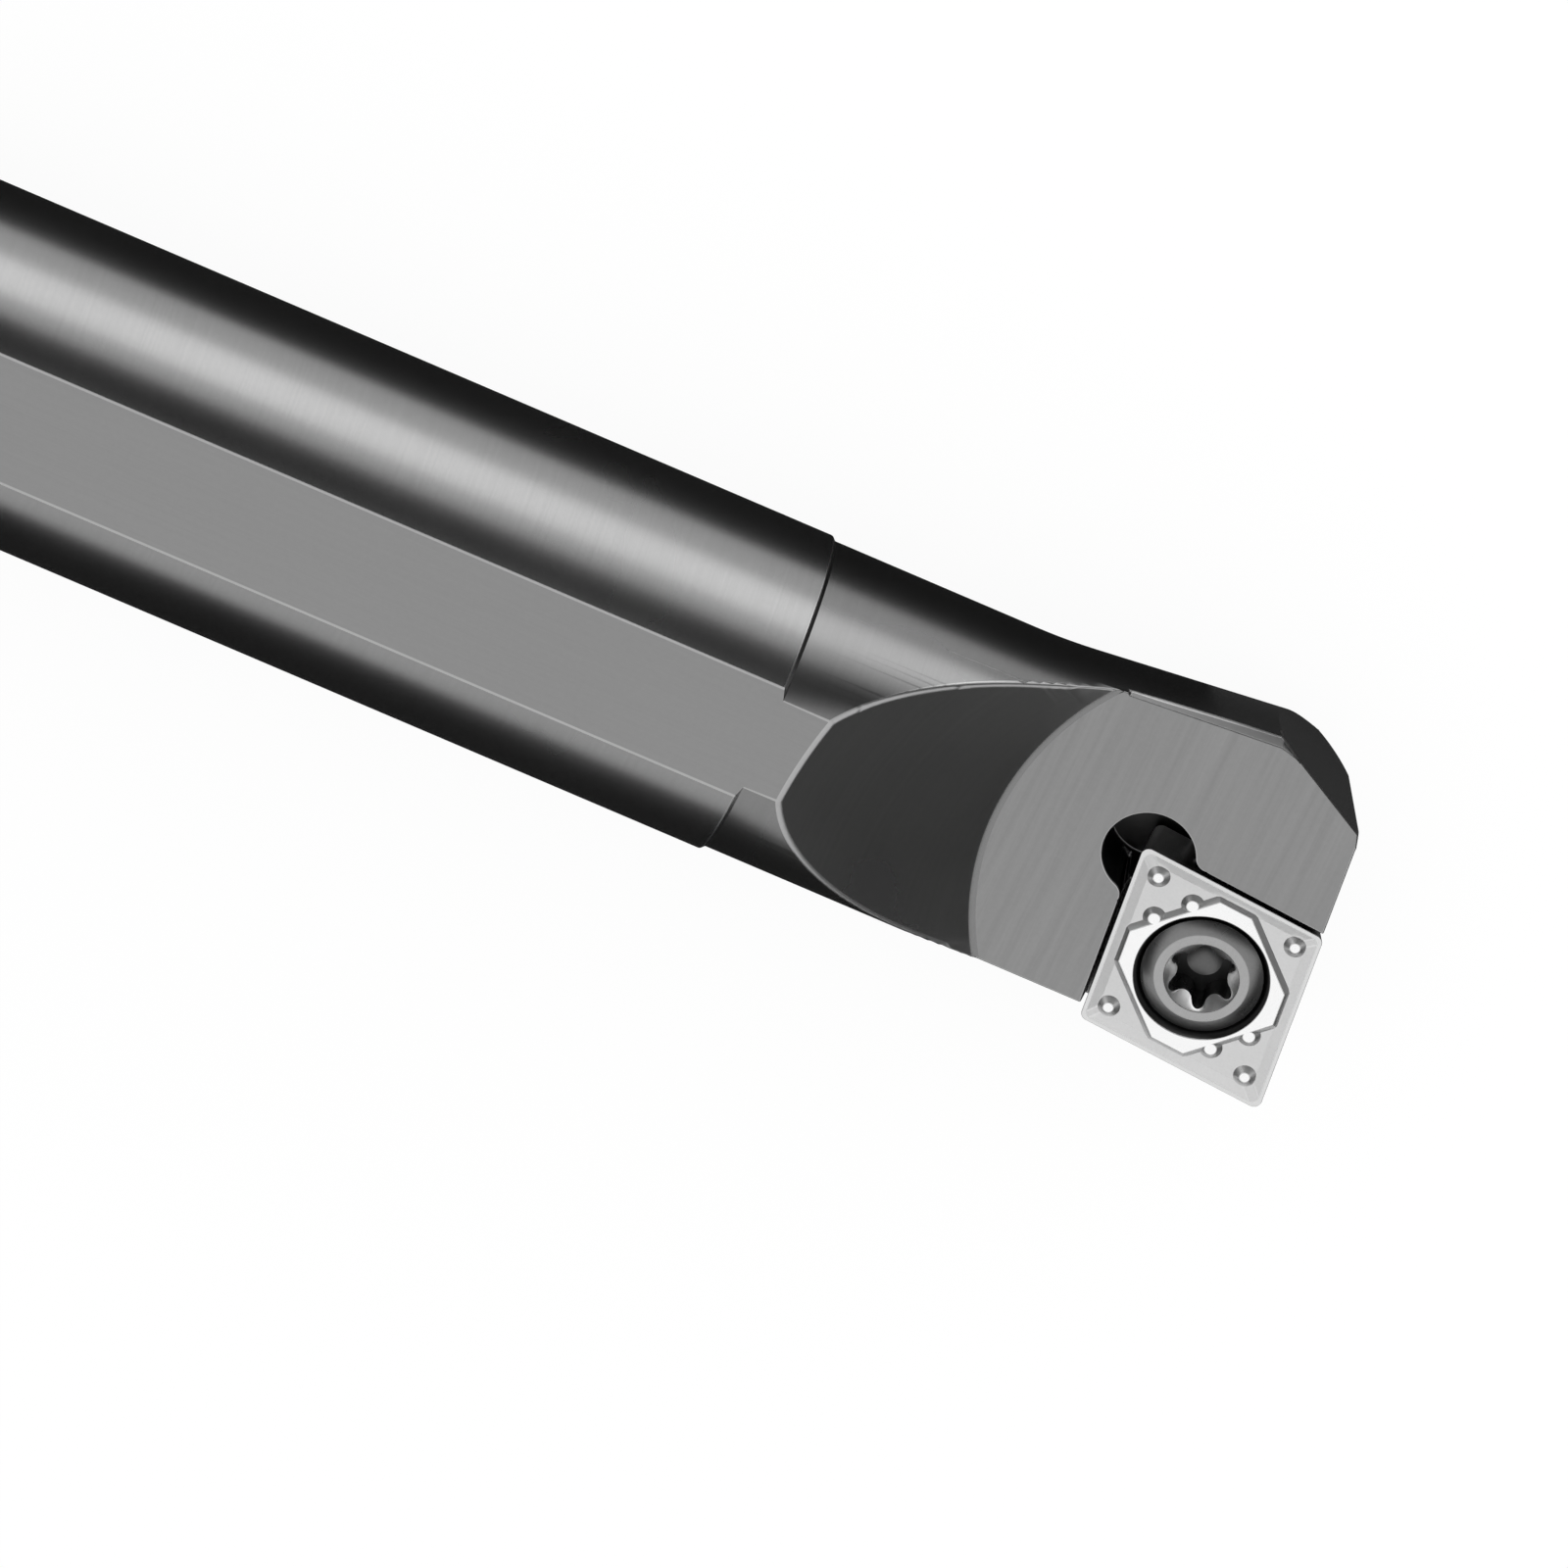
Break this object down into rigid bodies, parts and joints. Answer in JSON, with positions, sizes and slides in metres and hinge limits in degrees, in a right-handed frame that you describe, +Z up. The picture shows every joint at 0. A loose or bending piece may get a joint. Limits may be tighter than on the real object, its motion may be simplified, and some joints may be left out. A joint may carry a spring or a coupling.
{
  "type": "boring bar",
  "caption": "Round-shank internal turning bar with flats, a flared head, a chip gullet and a screw-clamped rhombic insert.",
  "frame": {"origin": "centre of the rear end face, on the shank's axis", "axes": "+X along the bar to the insert's nose, +Z up through the upper flat, the nose points to -Y"},
  "size_m": [0.18, 0.0184, 0.0148],
  "materials": {
    "bar_steel": "turned and milled tool steel with a fine satin grain",
    "carbide": "pressed and ground carbide, pale grey, satin",
    "screw_steel": "turned screw steel, semi-bright"
  },
  "bodies": {
    "root": {"bar_body": "bar_steel", "insert": "carbide", "clamp_screw": "screw_steel"}
  },
  "joints": []
}
